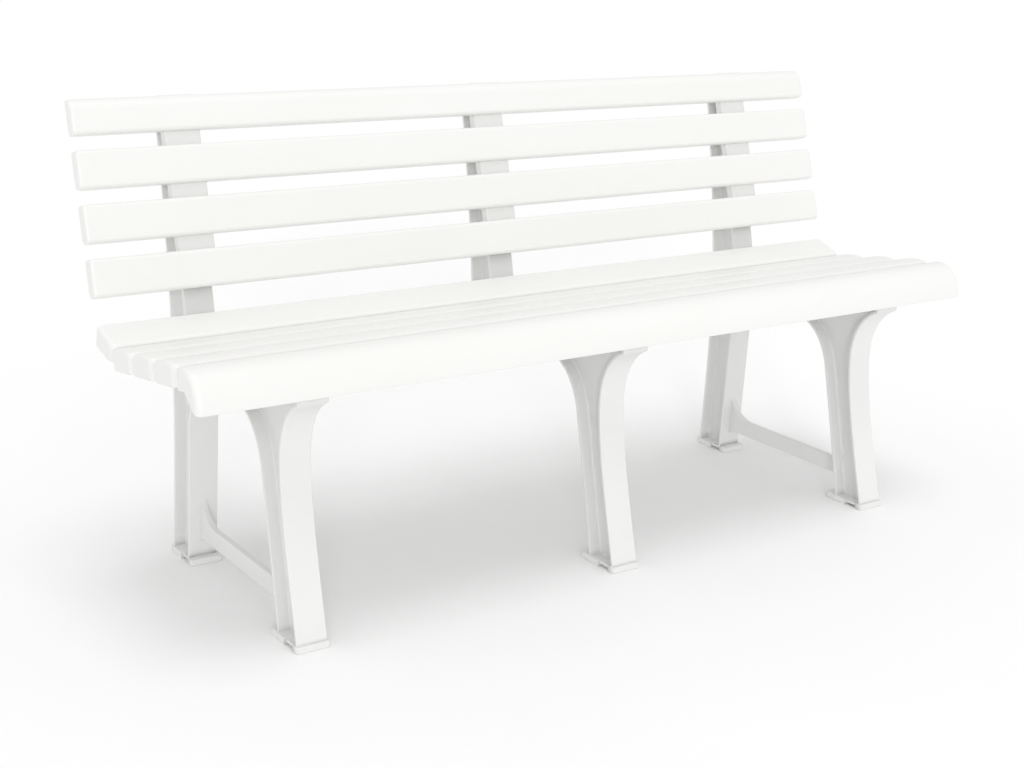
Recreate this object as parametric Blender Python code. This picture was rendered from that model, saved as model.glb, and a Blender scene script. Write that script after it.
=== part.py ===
"""Slatted garden bench in moulded resin.

Three one-piece side frames carry five seat slats and four back slats. Every slat is an
open-backed shell with a screw boss over each frame, and one hex-head screw per crossing
holds it down. X runs along the bench, -Y is the front and the feet stand on Z = 0.
"""

import math

import bpy
from mathutils import Vector

# ---- whole bench (metres, degrees)
SLAT_LENGTH = 1.455
FRAME_SPACING = 0.555
CLEARANCE = 0.0003

# ---- side frame, section across its width
FLANGE_HALF_WIDTH = 0.024
PAD_HALF_WIDTH = 0.029
WEB_HALF_THICKNESS = 0.003
FLANGE_THICKNESS = 0.005
PAD_THICKNESS = 0.0155
BACK_FLANGE_SETBACK = 0.012
FOOT_SINK = 0.004

# ---- side frame, side view: Bezier runs of (y, z) points
FRONT_LEG_FRONT = (
    ((-0.234, 0.0), (-0.2115, 0.090), (-0.181, 0.193), (-0.181, 0.268)),
    ((-0.181, 0.268), (-0.181, 0.316), (-0.205, 0.347), (-0.233, 0.3585)),
)
FRONT_LEG_REAR = (
    ((-0.171, 0.0), (-0.156, 0.075), (-0.135, 0.170), (-0.120, 0.236)),
    ((-0.120, 0.236), (-0.1105, 0.278), (-0.085, 0.310), (-0.040, 0.316)),
)
RAIL_TO_REAR_LEG = ((0.060, 0.302), (0.095, 0.297), (0.1245, 0.272), (0.128, 0.232))
REAR_LEG_FRONT_FOOT = (0.1395, 0.0)
REAR_EDGE = (
    ((0.201, 0.0), (0.195, 0.090), (0.1895, 0.180), (0.1895, 0.270)),
    ((0.1895, 0.270), (0.1895, 0.400), (0.2160, 0.590), (0.2468, 0.720)),
)
# The middle frame has no rear leg: its seat rail ends in a heel that curves up into the post.
HEEL_SHARE = 0.25
HEEL_GUIDES = ((0.130, 0.292), (0.190, 0.327))
CURVE_STEPS = 7
TRIM_REACH = 0.025
POST_TOP_REACH = 0.040
PAD_OVERHANG = 0.001

# ---- how far cutters run past what they cut
CUT_MARGIN = 0.010
HOLE_MARGIN = 0.002
NOTCH_CUT_HALF = 0.05
RIM_RUN_ON = 0.012

# ---- edges sharper than these angles stay sharp, in degrees
FRAME_SMOOTH_ANGLE = 35.0
SMOOTH_ANGLE = 30.0

# ---- back rest: the plane the back slats are screwed to
BACK_LEAN = 16.2
BACK_PLANE_POINT = (0.1605, 0.570)
BACK_PAD_FOOT = 0.457
POST_HEEL = (0.1302, 0.385)
POST_TOP = 0.717
BACK_SLAT_HEIGHTS = (0.4744, 0.5507, 0.6270, 0.7019)

# ---- seat: two planes, a long one rising to the front and a short one rising to the rear
SEAT_RISE = 8.0
SEAT_REAR_RISE = 12.5
SEAT_STEP_Y = 0.051
SEAT_STEP_LOW = 0.3585
SEAT_STEP_HIGH = 0.3652
SEAT_REAR_END = 0.123
SEAT_SLAT_CENTRES = (0.013, -0.063, -0.139)
REAR_SEAT_SLAT_CENTRE = 0.087
NOSE_BREAK = -0.205
NOSE_SCREW_Y = -0.1930
NOSE_LEDGE_Y = (-0.233, -0.2285)
NOSE_LEDGE_Z = 0.3687

# ---- slat sections
WALL = 0.0035
END_WALL = 0.008
SEAT_END_ROUND = 0.010
BACK_END_ROUND = 0.005
END_ROUND_ABOVE = 0.4
BACK_SLAT_WIDTH = 0.0575
BACK_SLAT_DEPTH = 0.0133
BACK_RIM_DEPTH = 0.009
NOTCH_GAP = 0.0008
BACK_SLAT_EDGE = 0.006
TOP_SLAT_WIDTH = 0.0545
TOP_SLAT_EDGE = 0.019
SEAT_SLAT_WIDTH = 0.066
SEAT_SLAT_DEPTH = 0.0315
SEAT_SLAT_CROWN = 0.0025
SEAT_SLAT_EDGE = 0.007
REAR_SEAT_SLAT_WIDTH = 0.062
REAR_SEAT_SLAT_DEPTH = 0.0305
REAR_SEAT_SLAT_FALL = 0.0050
REAR_SEAT_SLAT_EDGE = 0.005
NOSE_REAR_Y = -0.182
NOSE_CROWN = ((-0.182, 0.4165), (-0.1825, 0.4225), (-0.190, 0.4245), (-0.200, 0.4245))
NOSE_CURVE = ((-0.200, 0.4245), (-0.228, 0.4255), (-0.2435, 0.398), (-0.245, 0.3695))
NOSE_RIM = (-0.2405, 0.3700)
ARC_STEPS = 3
NOSE_STEPS = 6

# ---- feet
FOOT_THICKNESS = 0.010
FOOT_HALF_WIDTH = 0.027
FRONT_FOOT = (-0.236, -0.147)
REAR_FOOT = (0.124, 0.208)
FOOT_CORNER = 0.006
ANCHOR_FROM_TOE = 0.015
ANCHOR_LENGTH = 0.024
ANCHOR_INNER = 0.015

# ---- stretcher between the legs
STRETCHER_HALF_THICKNESS = 0.005
STRETCHER_TOP = 0.069
STRETCHER_BOTTOM = 0.040
STRETCHER_FRONT_Y = -0.162
STRETCHER_REAR_Y = 0.1385
STRETCHER_REAR_FILLET = 0.058
STRETCHER_EMBED_FRONT = 0.002
STRETCHER_EMBED_REAR = 0.003
STRETCHER_SMALL_FILLET = 0.010

# ---- screws
SCREW_OFFSET = 0.0135
SHANK_RADIUS = 0.0020
SCREW_TIP = 0.003
PILOT_RADIUS = 0.0023
PASS_RADIUS = 0.0025
BOSS_RADIUS = 0.0060
SEAT_SCREW_REACH = 0.014
BACK_SCREW_REACH = 0.0085
PILOT_DEPTH = 0.016
WASHER_RADIUS = 0.0055
WASHER_THICKNESS = 0.0012
HEX_RADIUS = 0.0042
HEX_SIDES = 6
HEX_HEIGHT = 0.0035
BACK_GRIP = BACK_FLANGE_SETBACK + FLANGE_THICKNESS
SEAT_GRIP = CLEARANCE + FLANGE_THICKNESS


# ---- materials: colour, roughness, metallic
MATERIALS = {
    "frame_resin": ((0.81, 0.81, 0.80), 0.40, 0.0),
    "slat_resin": ((0.845, 0.845, 0.838), 0.32, 0.0),
    "zinc_steel": ((0.62, 0.63, 0.64), 0.35, 1.0),
}

# ---------------------------------------------------------------- plane geometry


def bezier(points, steps, start=0.0):
    """Points along one cubic run from the given share of it, both ends included."""
    a, b, c, d = (Vector(p) for p in points)
    out = []
    for i in range(steps + 1):
        t = start + (1.0 - start) * i / steps
        s = 1.0 - t
        out.append(a * s**3 + b * (3 * s * s * t) + c * (3 * s * t * t) + d * t**3)
    return out


def chain(*runs):
    """One open polyline from several that share end points."""
    out = []
    for run in runs:
        for point in run:
            point = Vector(point)
            if not out or (out[-1] - point).length > 1e-6:
                out.append(point)
    return out


def arc(centre, radius, start, end, steps):
    """Points of a circular arc, angles in degrees."""
    out = []
    for i in range(steps + 1):
        angle = math.radians(start + (end - start) * i / steps)
        out.append(Vector((centre[0] + radius * math.cos(angle), centre[1] + radius * math.sin(angle))))
    return out


def left_of(direction):
    return Vector((-direction.y, direction.x))


def offset(points, distance):
    """An open polyline moved sideways, to the left of its direction."""
    out = []
    for i, point in enumerate(points):
        before = (point - points[i - 1]).normalized() if i else None
        after = (points[i + 1] - point).normalized() if i + 1 < len(points) else None
        before = before or after
        after = after or before
        normal = (left_of(before) + left_of(after)).normalized()
        out.append(point + normal * (distance / normal.dot(left_of(after))))
    return out


def extended(points, length):
    """An open polyline lengthened along its end tangents."""
    first = points[0] + (points[0] - points[1]).normalized() * length
    last = points[-1] + (points[-1] - points[-2]).normalized() * length
    return [first, *points[1:-1], last]


def crossing(a, b, c, d):
    """Where segments ab and cd meet, or None."""
    ab = b - a
    cd = d - c
    cross = ab.x * cd.y - ab.y * cd.x
    if abs(cross) < 1e-14:
        return None
    ac = c - a
    t = (ac.x * cd.y - ac.y * cd.x) / cross
    u = (ac.x * ab.y - ac.y * ab.x) / cross
    return a + ab * t if 0 <= t <= 1 and 0 <= u <= 1 else None


def closed_outline(chains, inset, reach):
    """The loop of consecutive chains, each moved left by inset and trimmed where it meets the next."""
    moved = [extended(offset(points, inset), reach) for points in chains]
    starts = [0] * len(moved)
    ends = [0] * len(moved)
    corners = [None] * len(moved)
    for k, run in enumerate(moved):
        after = moved[(k + 1) % len(moved)]
        wanted = chains[k][-1]
        best = None
        for i in range(len(run) - 1):
            for j in range(len(after) - 1):
                met = crossing(run[i], run[i + 1], after[j], after[j + 1])
                if met and (best is None or (met - wanted).length < best[0]):
                    best = ((met - wanted).length, i, j, met)
        _, ends[k], starts[(k + 1) % len(moved)], corners[k] = best
    loop = []
    for k, run in enumerate(moved):
        loop.extend(run[starts[k] + 1 : ends[k] + 1])
        loop.append(corners[k])
    return loop


def lean_point(z, depth):
    """A point at height z on the back-rest plane, moved rearward by depth square to the plane."""
    lean = math.radians(BACK_LEAN)
    y = BACK_PLANE_POINT[0] + (z - BACK_PLANE_POINT[1]) * math.tan(lean)
    return Vector((y + depth * math.cos(lean), z - depth * math.sin(lean)))


def seat_point(y, depth):
    """A point at y on the plane under the seat slats, moved down by depth square to that plane."""
    in_front = y < SEAT_STEP_Y
    angle = math.radians(-SEAT_RISE if in_front else SEAT_REAR_RISE)
    z = (SEAT_STEP_LOW if in_front else SEAT_STEP_HIGH) + (y - SEAT_STEP_Y) * math.tan(angle)
    return Vector((y + depth * math.sin(angle), z - depth * math.cos(angle)))


# ---------------------------------------------------------------- solids

part_collection = None
cutter_collection = None


def new_object(name, mesh, collection):
    obj = bpy.data.objects.new(name, mesh)
    collection.objects.link(obj)
    return obj


def mesh_object(name, points, faces):
    mesh = bpy.data.meshes.new(name)
    mesh.from_pydata([tuple(p) for p in points], [], faces)
    mesh.update()
    return new_object(name, mesh, cutter_collection)


def signed_area(loop):
    return 0.5 * sum(a.x * b.y - b.x * a.y for a, b in zip(loop, loop[1:] + loop[:1]))


def prism(name, loop, low, high, axis="X"):
    """A closed outline extruded along X (outline in YZ) or along Z (outline in XY)."""
    if signed_area(loop) < 0:
        loop = loop[::-1]
    count = len(loop)
    if axis == "X":
        points = [(x, p.x, p.y) for x in (low, high) for p in loop]
    else:
        points = [(p.x, p.y, z) for z in (low, high) for p in loop]
    faces = [list(range(count))[::-1], list(range(count, 2 * count))]
    for i in range(count):
        j = (i + 1) % count
        faces.append([i, j, count + j, count + i])
    return mesh_object(name, points, faces)


def turned(name, profile, steps):
    """A closed solid of revolution about local Z. The (radius, height) pairs start and end on the axis."""
    points = []
    rings = []
    for radius, height in profile:
        if radius < 1e-9:
            rings.append([len(points)])
            points.append((0.0, 0.0, height))
            continue
        rings.append(list(range(len(points), len(points) + steps)))
        for i in range(steps):
            angle = 2 * math.pi * (i + 0.5) / steps
            points.append((radius * math.cos(angle), radius * math.sin(angle), height))
    faces = []
    for low, high in zip(rings, rings[1:]):
        for i in range(steps):
            j = (i + 1) % steps
            if len(low) == 1:
                faces.append([low[0], high[j], high[i]])
            elif len(high) == 1:
                faces.append([low[i], low[j], high[0]])
            else:
                faces.append([low[i], low[j], high[j], high[i]])
    return mesh_object(name, points, faces)


def place(obj, origin, turn):
    """Moves a solid to (x, y, z) after a turn about X in degrees."""
    obj.location = origin
    obj.rotation_euler = (math.radians(turn), 0.0, 0.0)
    return obj


def combined(target, tool, operation):
    modifier = target.modifiers.new(operation.lower(), "BOOLEAN")
    modifier.operation = operation
    modifier.solver = "EXACT"
    modifier.object = tool
    bpy.context.view_layer.update()
    graph = bpy.context.evaluated_depsgraph_get()
    mesh = bpy.data.meshes.new_from_object(target.evaluated_get(graph))
    target.modifiers.clear()
    target.data = mesh
    return target


def joined(name, pieces):
    """Several separate solids as one cutter mesh."""
    points = []
    faces = []
    for piece in pieces:
        bpy.context.view_layer.update()
        start = len(points)
        points.extend(piece.matrix_world @ v.co for v in piece.data.vertices)
        faces.extend([start + i for i in face.vertices] for face in piece.data.polygons)
    return mesh_object(name, points, faces)


def finish(name, mesh, slot, smooth_angle, origin=(0.0, 0.0, 0.0), turn=0.0):
    """One named part in the bench's collection, sharing a mesh with its copies."""
    if not mesh.materials:
        mesh.materials.append(bpy.data.materials[slot])
    mesh.set_sharp_from_angle(angle=math.radians(smooth_angle))
    for face in mesh.polygons:
        face.use_smooth = True
    return place(new_object(name, mesh, part_collection), origin, turn)


def add_materials():
    for name, (colour, roughness, metallic) in MATERIALS.items():
        material = bpy.data.materials.new(name)
        material.use_nodes = True
        shader = material.node_tree.nodes["Principled BSDF"]
        shader.inputs["Base Color"].default_value = (*colour, 1.0)
        shader.inputs["Roughness"].default_value = roughness
        shader.inputs["Metallic"].default_value = metallic
        material.diffuse_color = (*colour, 1.0)


# ---------------------------------------------------------------- side frame


def frame_chains(detailed, rear_leg):
    """The outline of the flanged body, clockwise in (y, z).

    The recess skips the nose ledge and the seat step.
    """
    front = chain(*(bezier(run, CURVE_STEPS) for run in FRONT_LEG_FRONT))
    low, high = NOSE_LEDGE_Y
    ledge = [
        [front[-1], Vector((low, NOSE_LEDGE_Z))],
        [Vector((low, NOSE_LEDGE_Z)), Vector((high, NOSE_LEDGE_Z))],
    ]
    nose = [Vector((high, NOSE_LEDGE_Z)), seat_point(NOSE_BREAK, CLEARANCE)]
    before_step = SEAT_STEP_Y - 1e-6
    seat = [seat_point(NOSE_BREAK, CLEARANCE), seat_point(before_step, CLEARANCE)]
    step = [seat_point(before_step, CLEARANCE), seat_point(SEAT_STEP_Y, CLEARANCE)]
    seat_rear = [seat_point(SEAT_STEP_Y, CLEARANCE), seat_point(SEAT_REAR_END, CLEARANCE)]
    post = [
        Vector(POST_HEEL),
        lean_point(BACK_PAD_FOOT, BACK_FLANGE_SETBACK),
        lean_point(POST_TOP, BACK_FLANGE_SETBACK),
    ]
    top = [lean_point(POST_TOP, 0.0), lean_point(POST_TOP, POST_TOP_REACH)]
    front_leg_rear = chain(*(bezier(run, CURVE_STEPS)[::-1] for run in FRONT_LEG_REAR[::-1]))
    if rear_leg:
        rear = chain(*(bezier(run, CURVE_STEPS) for run in REAR_EDGE))[::-1]
        heel_y = REAR_EDGE[0][0][0]
        rear_sole = [Vector((heel_y, FOOT_SINK)), Vector((REAR_LEG_FRONT_FOOT[0], FOOT_SINK))]
        rail_end = bezier(RAIL_TO_REAR_LEG, CURVE_STEPS)[::-1]
        behind = [rear, rear_sole, chain([REAR_LEG_FRONT_FOOT], rail_end, front_leg_rear)]
    else:
        rear = bezier(REAR_EDGE[1], CURVE_STEPS, HEEL_SHARE)[::-1]
        heel = bezier((RAIL_TO_REAR_LEG[0], *HEEL_GUIDES, rear[-1]), CURVE_STEPS)[::-1]
        behind = [chain(rear, heel, front_leg_rear)]
    toe_y = FRONT_LEG_FRONT[0][0][0]
    front_sole = [Vector((FRONT_LEG_REAR[0][0][0], FOOT_SINK)), Vector((toe_y, FOOT_SINK))]
    if detailed:
        return [front, *ledge, nose, seat, step, seat_rear, post, top, *behind, front_sole]
    return [front, nose, seat, seat_rear, post, top, *behind, front_sole]


def foot_plate(name, toe, heel):
    """A base plate with clipped corners and an anchor notch in each long edge."""
    side = []
    notch = toe + ANCHOR_FROM_TOE
    for x, y in (
        (FOOT_HALF_WIDTH - FOOT_CORNER * 0.5, toe),
        (FOOT_HALF_WIDTH, toe + FOOT_CORNER * 0.5),
        (FOOT_HALF_WIDTH, notch),
        (ANCHOR_INNER, notch),
        (ANCHOR_INNER, notch + ANCHOR_LENGTH),
        (FOOT_HALF_WIDTH, notch + ANCHOR_LENGTH),
        (FOOT_HALF_WIDTH, heel - FOOT_CORNER),
        (FOOT_HALF_WIDTH - FOOT_CORNER, heel),
    ):
        side.append(Vector((x, y)))
    mirrored = [Vector((-p.x, p.y)) for p in side[::-1]]
    return prism(name, side + mirrored, 0.0, FOOT_THICKNESS, axis="Z")


def stretcher_outline():
    top_rear = arc(
        (STRETCHER_REAR_Y - STRETCHER_REAR_FILLET, STRETCHER_TOP + STRETCHER_REAR_FILLET),
        STRETCHER_REAR_FILLET,
        -90,
        0,
        6,
    )
    small = STRETCHER_SMALL_FILLET
    top_front = arc((STRETCHER_FRONT_Y + small, STRETCHER_TOP + small), small, 180, 270, 3)
    low_front = arc((STRETCHER_FRONT_Y + small, STRETCHER_BOTTOM - small), small, 90, 180, 3)
    low_rear = arc((STRETCHER_REAR_Y - small, STRETCHER_BOTTOM - small), small, 0, 90, 3)
    hidden_front = STRETCHER_FRONT_Y - STRETCHER_EMBED_FRONT
    hidden_rear = STRETCHER_REAR_Y + STRETCHER_EMBED_REAR
    return chain(
        [(hidden_front, STRETCHER_BOTTOM - small), (hidden_front, STRETCHER_TOP + small)],
        top_front,
        top_rear,
        [(hidden_rear, STRETCHER_TOP + STRETCHER_REAR_FILLET), (hidden_rear, STRETCHER_BOTTOM - small)],
        low_rear,
        low_front,
    )


def back_pad_outline():
    return [
        lean_point(BACK_PAD_FOOT, CLEARANCE),
        lean_point(POST_TOP + PAD_OVERHANG, CLEARANCE),
        lean_point(POST_TOP + PAD_OVERHANG, PAD_THICKNESS),
        lean_point(BACK_PAD_FOOT, PAD_THICKNESS),
    ]


def crossings():
    """Every slat crossing as (name, y, z, turn about X, grip of the flange)."""
    out = []
    y, z = seat_point(REAR_SEAT_SLAT_CENTRE, 0.0)
    out.append(("seat_1", y, z, SEAT_REAR_RISE, SEAT_GRIP))
    for i, centre in enumerate(SEAT_SLAT_CENTRES):
        y, z = seat_point(centre, 0.0)
        out.append((f"seat_{i + 2}", y, z, -SEAT_RISE, SEAT_GRIP))
    y, z = seat_point(NOSE_SCREW_Y, 0.0)
    out.append(("seat_5", y, z, -SEAT_RISE, SEAT_GRIP))
    for i, height in enumerate(BACK_SLAT_HEIGHTS):
        y, z = lean_point(height, 0.0)
        out.append((f"back_{i + 1}", y, z, 90.0 - BACK_LEAN, BACK_GRIP))
    return out


def build_frame(name, rear_leg):
    """One side frame centred on X = 0. The rear leg brings its foot plate and the stretcher."""
    outline = closed_outline(frame_chains(True, rear_leg), 0.0, TRIM_REACH)
    body = prism(name, outline, -FLANGE_HALF_WIDTH, FLANGE_HALF_WIDTH)
    recess = closed_outline(frame_chains(False, rear_leg), -FLANGE_THICKNESS, TRIM_REACH)
    reach = FLANGE_HALF_WIDTH + CUT_MARGIN
    sides = [
        prism("recess_left", recess, -reach, -WEB_HALF_THICKNESS),
        prism("recess_right", recess, WEB_HALF_THICKNESS, reach),
    ]
    combined(body, joined("recesses", sides), "DIFFERENCE")
    combined(body, prism("back_pad", back_pad_outline(), -PAD_HALF_WIDTH, PAD_HALF_WIDTH), "UNION")
    combined(body, foot_plate("front_foot", *FRONT_FOOT), "UNION")
    if rear_leg:
        half = STRETCHER_HALF_THICKNESS
        combined(body, prism("stretcher", stretcher_outline(), -half, half), "UNION")
        combined(body, foot_plate("rear_foot", *REAR_FOOT), "UNION")
    holes = []
    for name, y, z, turn, grip in crossings():
        low = -grip - HOLE_MARGIN
        profile = [(0.0, low), (PASS_RADIUS, low), (PASS_RADIUS, HOLE_MARGIN), (0.0, HOLE_MARGIN)]
        holes.append(place(turned(f"hole_{name}", profile, 8), (SCREW_OFFSET, y, z), turn))
    return combined(body, joined("holes", holes), "DIFFERENCE")


# ---------------------------------------------------------------- slats


def slat_section(width, depth, rear_edge, front_edge, crown=0.0, fall=0.0, rim=0.0):
    """Open outline of a slat from front rim to rear rim, in (across, height above the frame).

    fall is how much lower the face is at the front, rim how far the rims reach below the frame's face.
    """
    half = width / 2
    front_depth = depth - fall / 2
    rear_depth = depth + fall / 2
    low = arc((-half + front_edge, front_depth - front_edge), front_edge, 180, 90, ARC_STEPS)
    high = arc((half - rear_edge, rear_depth - rear_edge), rear_edge, 90, 0, ARC_STEPS)
    middle = []
    for i in range(1, 4 if crown else 1):
        t = i / 4
        across = low[-1].x + (high[0].x - low[-1].x) * t
        middle.append(Vector((across, depth + crown * 4 * t * (1 - t))))
    return chain([(-half, -rim)], low, middle, high, [(half, -rim)])


def lofted(name, outline, stations):
    """A closed outline carried along X through (x, narrowing, lowering) stations, with flat ends."""
    if signed_area(outline) < 0:
        outline = outline[::-1]
    count = len(outline)
    low = Vector((min(p.x for p in outline), min(p.y for p in outline)))
    high = Vector((max(p.x for p in outline), max(p.y for p in outline)))
    middle = (low + high) / 2
    size = (high - low) / 2
    points = []
    for x, narrow, lower in stations:
        for p in outline:
            across = middle.x + (p.x - middle.x) * (1 - narrow / size.x)
            points.append((x, across, middle.y + (p.y - middle.y) * (1 - lower / size.y)))
    faces = [list(range(count))[::-1], list(range(len(points) - count, len(points)))]
    for k in range(len(stations) - 1):
        for i in range(count):
            j = (i + 1) % count
            base = k * count
            faces.append([base + i, base + j, base + count + j, base + count + i])
    return mesh_object(name, points, faces)


def build_slat(name, outline, end_round, boss_turn, boss_base, skin_height, under=(), rim=0.0):
    """A hollow slat whose outline is open at the rim, with one boss per frame.

    under closes the end walls of a curved slat. rim is the depth of the notches that clear the frames' pads.
    """
    half = SLAT_LENGTH / 2
    ends = []
    for t in (0.0, 0.35, 0.7, 1.0):
        angle = t * math.pi / 2
        narrow = end_round * (1 - math.cos(angle))
        ends.append((half - end_round * (1 - math.sin(angle)), narrow, narrow * END_ROUND_ABOVE))
    stations = [(-x, *rest) for x, *rest in ends[::-1]] + ends
    solid = lofted(name, [*outline, *under], stations)
    wall = offset(outline, -WALL)
    low_rim = wall[0] + (wall[0] - wall[1]).normalized() * RIM_RUN_ON
    high_rim = wall[-1] + (wall[-1] - wall[-2]).normalized() * RIM_RUN_ON
    cavity = [low_rim, *wall[1:-1], high_rim]
    inner_half = half - END_WALL
    combined(solid, prism(f"{name}_cavity", cavity, -inner_half, inner_half), "DIFFERENCE")
    frames = (-FRAME_SPACING, 0.0, FRAME_SPACING)
    if rim:
        reach = PAD_HALF_WIDTH + NOTCH_GAP
        side = NOTCH_CUT_HALF
        depth = -rim - CUT_MARGIN
        notch = [Vector(p) for p in ((-side, depth), (side, depth), (side, 0.0), (-side, 0.0))]
        notches = [prism(f"{name}_notch", notch, x - reach, x + reach) for x in frames]
        combined(solid, joined(f"{name}_notches", notches), "DIFFERENCE")
    bosses = []
    pilots = []
    for x in frames:
        spot = (x + SCREW_OFFSET, *boss_base)
        top = skin_height - WALL / 2
        boss = turned(f"{name}_boss", [(0.0, 0.0), (BOSS_RADIUS, 0.0), (BOSS_RADIUS, top), (0.0, top)], 10)
        bosses.append(place(boss, spot, boss_turn))
        deep = min(PILOT_DEPTH, top - WALL / 2)
        profile = [(0.0, -HOLE_MARGIN), (PILOT_RADIUS, -HOLE_MARGIN), (PILOT_RADIUS, deep), (0.0, deep)]
        pilots.append(place(turned(f"{name}_pilot", profile, 8), spot, boss_turn))
    combined(solid, joined(f"{name}_bosses", bosses), "UNION")
    return combined(solid, joined(f"{name}_pilots", pilots), "DIFFERENCE")


def nose_outline():
    """The front slat's outline from the front rim over the rounded nose to the rear rim, in bench (y, z)."""
    nose = bezier(NOSE_CURVE, NOSE_STEPS)[::-1]
    crown = bezier(NOSE_CROWN, ARC_STEPS)[::-1]
    return chain(nose, crown, [seat_point(NOSE_REAR_Y, 0.0)])


# ---------------------------------------------------------------- screws


def build_screw(name, grip, reach):
    """A hex-head screw along local Z, its washer face at -grip and its tip at reach in the boss."""
    face = -grip - CLEARANCE
    shank = [
        (0.0, face - WASHER_THICKNESS),
        (WASHER_RADIUS, face - WASHER_THICKNESS),
        (WASHER_RADIUS, face),
        (SHANK_RADIUS, face),
        (SHANK_RADIUS, reach - SCREW_TIP),
        (0.0, reach),
    ]
    body = turned(name, shank, 8)
    head_low = face - WASHER_THICKNESS - HEX_HEIGHT
    head_top = face - WASHER_THICKNESS * 0.5
    corners = [(0.0, head_low), (HEX_RADIUS, head_low), (HEX_RADIUS, head_top), (0.0, head_top)]
    head = turned(f"{name}_hex", corners, HEX_SIDES)
    return combined(body, head, "UNION")


# ---------------------------------------------------------------- assembly


def build_bench():
    outer_frame = build_frame("outer_frame", True).data
    middle_frame = build_frame("middle_frame", False).data
    finish("side_frame_left", outer_frame, "frame_resin", FRAME_SMOOTH_ANGLE, (-FRAME_SPACING, 0.0, 0.0))
    finish("side_frame_middle", middle_frame, "frame_resin", FRAME_SMOOTH_ANGLE)
    finish("side_frame_right", outer_frame, "frame_resin", FRAME_SMOOTH_ANGLE, (FRAME_SPACING, 0.0, 0.0))

    edge = SEAT_SLAT_EDGE
    seat_section = slat_section(SEAT_SLAT_WIDTH, SEAT_SLAT_DEPTH, edge, edge, crown=SEAT_SLAT_CROWN)
    rear_depth = REAR_SEAT_SLAT_DEPTH
    rear_section = slat_section(
        REAR_SEAT_SLAT_WIDTH, rear_depth, REAR_SEAT_SLAT_EDGE, edge, fall=REAR_SEAT_SLAT_FALL
    )
    rim = BACK_RIM_DEPTH
    back_section = slat_section(BACK_SLAT_WIDTH, BACK_SLAT_DEPTH, BACK_SLAT_EDGE, BACK_SLAT_EDGE, rim=rim)
    top_section = slat_section(TOP_SLAT_WIDTH, BACK_SLAT_DEPTH, TOP_SLAT_EDGE, BACK_SLAT_EDGE, rim=rim)
    spots = {name: (y, z, turn) for name, y, z, turn, _ in crossings()}
    here = (0.0, 0.0)

    rear_slat = build_slat("rear_slat", rear_section, SEAT_END_ROUND, 0.0, here, rear_depth).data
    y, z, turn = spots["seat_1"]
    finish("seat_slat_1_rear", rear_slat, "slat_resin", SMOOTH_ANGLE, (0.0, y, z), turn)
    skin = SEAT_SLAT_DEPTH + SEAT_SLAT_CROWN
    seat_slat = build_slat("seat_slat", seat_section, SEAT_END_ROUND, 0.0, here, skin).data
    for i in (2, 3, 4):
        y, z, turn = spots[f"seat_{i}"]
        finish(f"seat_slat_{i}", seat_slat, "slat_resin", SMOOTH_ANGLE, (0.0, y, z), turn)
    y, z, turn = spots["seat_5"]
    under = [seat_point(NOSE_BREAK, 0.0), Vector(NOSE_RIM)]
    there = (y, z)
    depth = SEAT_SLAT_DEPTH
    nose_slat = build_slat("nose_slat", nose_outline(), SEAT_END_ROUND, turn, there, depth, under).data
    finish("seat_slat_5_front", nose_slat, "slat_resin", SMOOTH_ANGLE)

    depth = BACK_SLAT_DEPTH
    back_slat = build_slat("back_slat", back_section, BACK_END_ROUND, 0.0, here, depth, rim=rim).data
    for i in (1, 2, 3):
        y, z, turn = spots[f"back_{i}"]
        finish(f"back_slat_{i}", back_slat, "slat_resin", SMOOTH_ANGLE, (0.0, y, z), turn)
    top_slat = build_slat("top_slat", top_section, BACK_END_ROUND, 0.0, here, depth, rim=rim).data
    y, z, turn = spots["back_4"]
    finish("back_slat_4_top", top_slat, "slat_resin", SMOOTH_ANGLE, (0.0, y, z), turn)

    reaches = {SEAT_GRIP: SEAT_SCREW_REACH, BACK_GRIP: BACK_SCREW_REACH}
    screws = {grip: build_screw("screw", grip, reach).data for grip, reach in reaches.items()}
    for name, y, z, turn, grip in crossings():
        for side, x in (("left", -FRAME_SPACING), ("middle", 0.0), ("right", FRAME_SPACING)):
            place_at = (x + SCREW_OFFSET, y, z)
            finish(f"screw_{name}_{side}", screws[grip], "zinc_steel", SMOOTH_ANGLE, place_at, turn)


for old in list(bpy.data.objects):
    bpy.data.objects.remove(old, do_unlink=True)
part_collection = bpy.data.collections.new("garden_bench")
cutter_collection = bpy.data.collections.new("cutters")
for collection in (part_collection, cutter_collection):
    bpy.context.scene.collection.children.link(collection)
cutter_collection.hide_render = True
add_materials()
build_bench()
for cutter in cutter_collection.objects:
    cutter.hide_render = True
    cutter.display_type = "WIRE"
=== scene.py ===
"""Looks for the slatted garden bench: rounded mouldings, resin and zinc finishes, floor, light and camera.

Every piece is rebuilt in fine mesh around its CAD node and stands for it. Lengths are metres in the
row frame: X along the bench, -Y to the front, Z up. Sections are (y, z) pairs, and slat sections are
(across, height) pairs square to the plane the slat lies on.
"""

import math

import bmesh
import bpy
from mathutils import Matrix, Vector
from mathutils.geometry import tessellate_polygon


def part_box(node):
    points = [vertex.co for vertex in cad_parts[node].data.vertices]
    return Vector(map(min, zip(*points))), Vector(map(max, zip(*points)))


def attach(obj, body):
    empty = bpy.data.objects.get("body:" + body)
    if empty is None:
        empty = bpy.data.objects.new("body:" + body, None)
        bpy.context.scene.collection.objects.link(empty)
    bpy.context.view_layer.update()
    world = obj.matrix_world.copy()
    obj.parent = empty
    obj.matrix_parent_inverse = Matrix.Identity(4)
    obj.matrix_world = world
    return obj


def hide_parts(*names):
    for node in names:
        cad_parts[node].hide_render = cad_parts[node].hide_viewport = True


SIDES = ("left", "middle", "right")

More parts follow.
